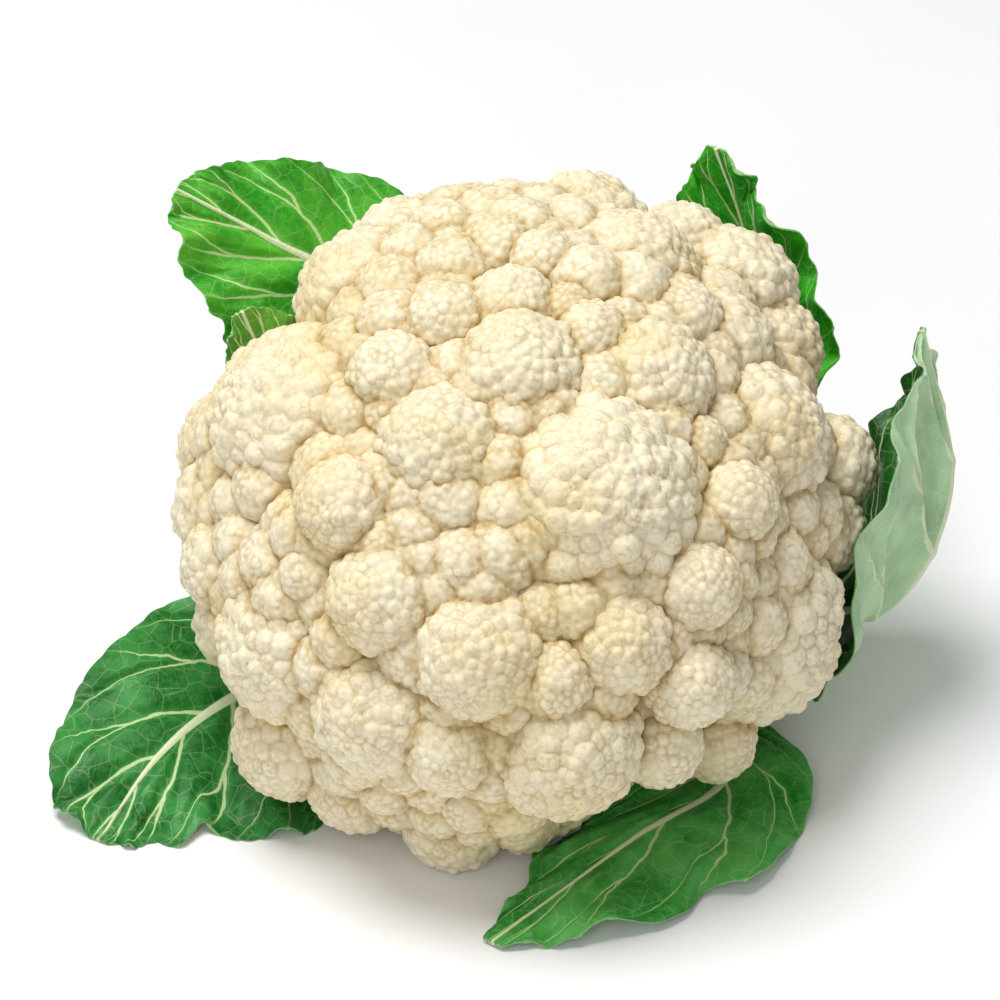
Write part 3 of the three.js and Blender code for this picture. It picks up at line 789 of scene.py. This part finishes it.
def leaf_material(name, leaf):
    m = Shader(f"{name}_skin")
    light, dark = map(linear, leaf["upper"])
    under = linear(leaf["under"])
    away = m.attribute("vein_t")
    wander = m.math("MULTIPLY", m.math("SUBTRACT", m.noise(9, 2), 0.5), VEIN_WANDER)
    u = m.math("ADD", m.attribute("vein_u"), wander)
    offset = m.math("ABSOLUTE", m.math("SUBTRACT", u, m.math("ROUND", u)))
    fork = m.math("MULTIPLY", m.math("MAXIMUM", m.math("SUBTRACT", away, FORK_FROM), 0.0), FORK_SPREAD)
    gap = m.math("MULTIPLY", m.math("ABSOLUTE", m.math("SUBTRACT", offset, fork)), m.attribute("vein_mm"))
    near = m.math("DIVIDE", gap, m.ramp(away, 0.0, 1.0, 0.62, 0.2))
    vein = m.math("MULTIPLY", m.ramp(near, 0.7, 1.5, 1.0, 0.0), m.ramp(away, 0.8, 0.98, 1.0, 0.25))
    halo = m.ramp(near, 0.0, 7.0, 0.4, 0.0)
    net = m.ramp(m.cells(6.5, "DISTANCE_TO_EDGE"), 0.005, 0.035, 1.0, 0.0)
    mesh = m.ramp(m.cells(1.7, "DISTANCE_TO_EDGE"), 0.02, 0.12, 1.0, 0.0)
    rib = m.ramp(m.attribute("rib"), 0.75, 1.1, 1.0, 0.0)
    patch = m.ramp(m.noise(16, 3), 0.35, 0.68)
    fleck = m.ramp(m.noise(2.0, 4), 0.38, 0.68)

    top = m.mix(patch, dark, light)
    top = m.mix(m.math("MULTIPLY", fleck, 0.3), top, light)
    top = m.mix(m.math("MULTIPLY", mesh, 0.18), top, light)
    top = m.mix(halo, top, light)
    top = m.mix(m.math("MULTIPLY", net, 0.16), top, VEIN)
    top = m.mix(m.math("MULTIPLY", vein, 0.85), top, VEIN)
    top = m.mix(rib, top, RIB)

    pale = m.mix(m.math("MULTIPLY", patch, 0.35), under, light)
    pale = m.mix(m.math("MULTIPLY", fleck, 0.25), pale, VEIN)
    pale = m.mix(m.math("MULTIPLY", m.math("MAXIMUM", m.math("MULTIPLY", net, 0.25), vein), 0.9), pale, RIB)
    pale = m.mix(rib, pale, RIB)
    colour = m.mix(m.attribute("under"), top, pale)

    relief = m.math("SUBTRACT", m.math("MULTIPLY", m.noise(1.2, 4), 0.5), m.math("MULTIPLY", mesh, 0.5))
    normal = m.bump(relief, 0.12, 0.7)
    return m.finish(
        Base_Color=colour, Roughness=m.ramp(fleck, 0, 1, 0.38, 0.56), Normal=normal,
        Specular_IOR_Level=0.32,
    )


STALK_SKIN = linear((206, 216, 164))
STALK_GREEN = linear((168, 190, 116))
STALK_CUT = linear((236, 232, 198))


def stalk_material():
    m = Shader("stalk_skin")
    streak = m.ramp(m.attribute("fibre"), 0.2, 0.8)
    patch = m.ramp(m.noise(12, 3), 0.35, 0.65)
    skin = m.mix(streak, STALK_GREEN, STALK_SKIN)
    skin = m.mix(m.math("MULTIPLY", patch, 0.4), skin, STALK_CUT)
    ring = m.ramp(m.attribute("core"), 0.55, 0.8, 0.0, 1.0)
    pith = m.mix(m.math("MULTIPLY", ring, 0.6), STALK_CUT, STALK_GREEN)
    colour = m.mix(m.attribute("cut"), skin, pith)
    normal = m.bump(m.noise(1.4, 4), 0.3, 0.6)
    return m.finish(Base_Color=colour, Roughness=m.ramp(patch, 0, 1, 0.5, 0.66), Normal=normal)


# The stalk: turned about the lean, flared under the curd, cut level, with a cut leaf stem behind
STALK_SIDES = 160
STALK_ROWS = 60
CAP_ROWS = 24
STALK_TOP = -CURD_SEAT - PIECE_GAP
FLARE_HEIGHT = 8.0
FIBRE_DEPTH = 0.6
RIM_FROM = 0.96  # share of the height where the cut's rim starts to round off
RIM_DEPTH = 0.5
CAP_LEAST = 0.03  # size of the innermost ring of a flat end
# Leaf scars wind down the stalk: count, first turn, first depth, step, half width, half height, relief
SCARS = 9
SCAR_TURN = 0.4
SCAR_TOP = 6.0
SCAR_STEP = 1.6
SCAR_WIDTH = 6.0
SCAR_HEIGHT = 1.3
SCAR_DEPTH = 0.7
CUT_STEM = {"turn": 88, "below": 57, "length": 10.0, "radius": 6.0, "taper": 0.9}
STEM_START = 8.0  # from the stalk's middle
STEM_ROWS = 40
STEM_CAP_ROWS = 10
STEM_CAP = (0.86, 0.1)  # first and last ring of its cut end, in its radii
CUT_DEPTH = 0.3  # a point this near a cut face shows the cut
STALK_SHARP = 40  # degrees between faces that keep a sharp edge


def tube(rings):
    """A closed skin over rings of points, its first and last ring drawn together to one point."""
    count, sides = rings.shape[:2]
    a = np.arange(count * sides).reshape(count, sides)
    b = np.roll(a, -1, axis=1)
    faces = [*np.stack([a[:-1], b[:-1], b[1:], a[1:]], -1).reshape(-1, 4).tolist()]
    first, last = count * sides, count * sides + 1
    faces += [[first, int(y), int(x)] for x, y in zip(a[0], b[0])]
    faces += [[last, int(x), int(y)] for x, y in zip(a[-1], b[-1])]
    points = np.concatenate([rings.reshape(-1, 3), rings[0].mean(0)[None], rings[-1].mean(0)[None]])
    return points, faces


def stalk_rings(turn):
    """Rings from the middle of the top down the side and in over the level cut."""
    around = np.cos(turn)[:, None] * ACROSS + np.sin(turn)[:, None] * BACK
    share = np.linspace(0, 1, STALK_ROWS)[:, None]
    low = -(MIDDLE[2] + STALK_RADIUS * around[:, 2]) / AXIS[2]
    height = STALK_TOP + (low - STALK_TOP) * share
    flare = 1 - smoothstep(0, FLARE_HEIGHT, STALK_TOP - height)
    fibre = np.sin(23 * turn + 2.1 * np.sin(3 * turn)) * 0.25 + np.sin(9 * turn + 1) * 0.35
    scar = np.zeros_like(height)
    for k in range(SCARS):
        scar_turn = k * GOLDEN_ANGLE + SCAR_TURN
        from_turn = np.abs((turn - scar_turn + math.pi) % (2 * math.pi) - math.pi) * STALK_RADIUS
        from_height = height - (STALK_TOP - SCAR_TOP - SCAR_STEP * k)
        scar += np.exp(-((from_turn / SCAR_WIDTH) ** 2) - (from_height / SCAR_HEIGHT) ** 2)
    relief = (FIBRE_DEPTH * fibre[None] + SCAR_DEPTH * scar) * np.sin(math.pi * share)
    rim = smoothstep(1, RIM_FROM, share)
    radius = STALK_RADIUS + STALK_FLARE * flare + relief - RIM_DEPTH * (1 - rim)
    side = MIDDLE + height[..., None] * AXIS + radius[..., None] * around[None]
    side[-1, :, 2] = 0
    shrink = np.linspace(1, CAP_LEAST, CAP_ROWS)[1:, None, None]
    top = side[0].mean(0) + (side[0] - side[0].mean(0)) * shrink[::-1]
    bottom = side[-1].mean(0) + (side[-1] - side[-1].mean(0)) * shrink
    return np.concatenate([top, side, bottom])


def stem_rings(turn, direction):
    """Rings along the cut leaf stem, from inside the stalk out and in over its cut end."""
    ring = np.cos(turn)[:, None] * np.cross(direction, AXIS) + np.sin(turn)[:, None] * AXIS
    end = STALK_RADIUS + CUT_STEM["length"]
    reach = np.concatenate([np.linspace(STEM_START, end, STEM_ROWS), np.full(STEM_CAP_ROWS, end)])
    taper = np.linspace(1, CUT_STEM["taper"], STEM_ROWS)
    size = np.concatenate([taper, np.linspace(*STEM_CAP, STEM_CAP_ROWS)]) * CUT_STEM["radius"]
    bend = 1 + 0.05 * np.sin(7 * turn) + 0.12 * np.cos(2 * turn)
    start = stalk_point(CUT_STEM["turn"], CUT_STEM["below"], 0)
    return start + reach[:, None, None] * direction + (size[:, None] * bend[None])[..., None] * ring[None]


def stalk_mesh():
    turn = np.arange(STALK_SIDES) * 2 * math.pi / STALK_SIDES
    direction = stalk_point(CUT_STEM["turn"], 0, 1) - MIDDLE
    points, faces = tube(stalk_rings(turn))
    stalk = new_object("stalk", new_mesh("stalk", points, [face[::-1] for face in faces]))
    parts = bpy.data.collections.new("parts")
    new_object("stem", new_mesh("stem", *tube(stem_rings(turn, direction))), parts)
    mesh = unite("stalk_skin", stalk, parts)

    points = points_of(mesh)
    offset = points - MIDDLE
    turn = np.arctan2(offset @ BACK, offset @ ACROSS)
    out = np.linalg.norm(offset - (offset @ AXIS)[:, None] * AXIS, axis=1)
    fine, broad = np.sin(61 * turn + 2 * np.sin(5 * turn)), np.sin(17 * turn + 3 * np.sin(2 * turn))
    on_stem = offset @ direction > STALK_RADIUS + CUT_STEM["length"] - CUT_DEPTH
    give(mesh, "fibre", 0.5 + 0.3 * fine + 0.12 * broad)
    give(mesh, "core", out / STALK_RADIUS)
    give(mesh, "cut", np.maximum(points[:, 2] < CUT_DEPTH, on_stem))
    soften(mesh, STALK_SHARP)
    return mesh


def dress(name, mesh, node, material):
    piece = new_object(name, mesh)
    mesh.materials.clear()
    mesh.materials.append(material)
    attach(piece, "root")
    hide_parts(node)


dress("curd_florets", curd_mesh(), "curd", curd_material())
dress("stalk_cut_end", stalk_mesh(), "stalk", stalk_material())
for number, (name, leaf) in enumerate(LEAVES.items()):
    dress(f"{name}_blade", leaf_mesh(name, leaf, number), name, leaf_material(name, leaf))

# Floor, light and camera
FLOOR_SIZE = 3000.0
CAMERA_DISTANCE = 1500.0
FIELD = 260.0
TARGET = (-3.1, 4.7, 0.0)
SENSOR = 36.0
WORLD_LIGHT = 0.32


def floor_material():
    m = Shader("table_top")
    tone = m.mix(m.ramp(m.noise(180, 2), 0.3, 0.7), linear((250, 250, 250)), linear((246, 246, 247)))
    return m.finish(Base_Color=tone, Roughness=0.9, Specular_IOR_Level=0.1)


half = FLOOR_SIZE / 2
corners = [(-half, -half, 0), (half, -half, 0), (half, half, 0), (-half, half, 0)]
floor = new_object("table_top", new_mesh("table_top", corners, [(0, 1, 2, 3)]))
floor.data.materials.append(floor_material())

world = bpy.data.worlds.new("studio")
world.use_nodes = True
background = world.node_tree.nodes["Background"]
background.inputs["Color"].default_value = (1.0, 1.0, 1.0, 1.0)
background.inputs["Strength"].default_value = WORLD_LIGHT
bpy.context.scene.world = world


def area_light(name, at, size, power):
    """A round light at a place in millimetres, turned toward the curd's middle."""
    data = bpy.data.lights.new(name, "AREA")
    data.shape = "DISK"
    data.size = size * MM
    data.energy = power
    light = new_object(name, data)
    at = np.array(at) * MM
    aim = Vector(MIDDLE * MM - at)
    light.matrix_world = Matrix.Translation(Vector(at)) @ aim.to_track_quat("-Z", "Y").to_matrix().to_4x4()


area_light("key", (-260, 40, 1200), 700, 12.8)
area_light("fill", (-200, -900, 600), 600, 2.0)

camera_data = bpy.data.cameras.new("camera")
camera_data.sensor_width = SENSOR
camera_data.lens = SENSOR * CAMERA_DISTANCE / FIELD
camera = new_object("camera", camera_data)
eye = place(TARGET) + TOWARD * CAMERA_DISTANCE
basis = Matrix([Vector(ACROSS), Vector(UP), Vector(TOWARD)]).transposed().to_4x4()
camera.matrix_world = Matrix.Translation(Vector(eye * MM)) @ basis
bpy.context.scene.camera = camera
bpy.context.scene.view_settings.view_transform = "Standard"

bpy.context.view_layer.update()
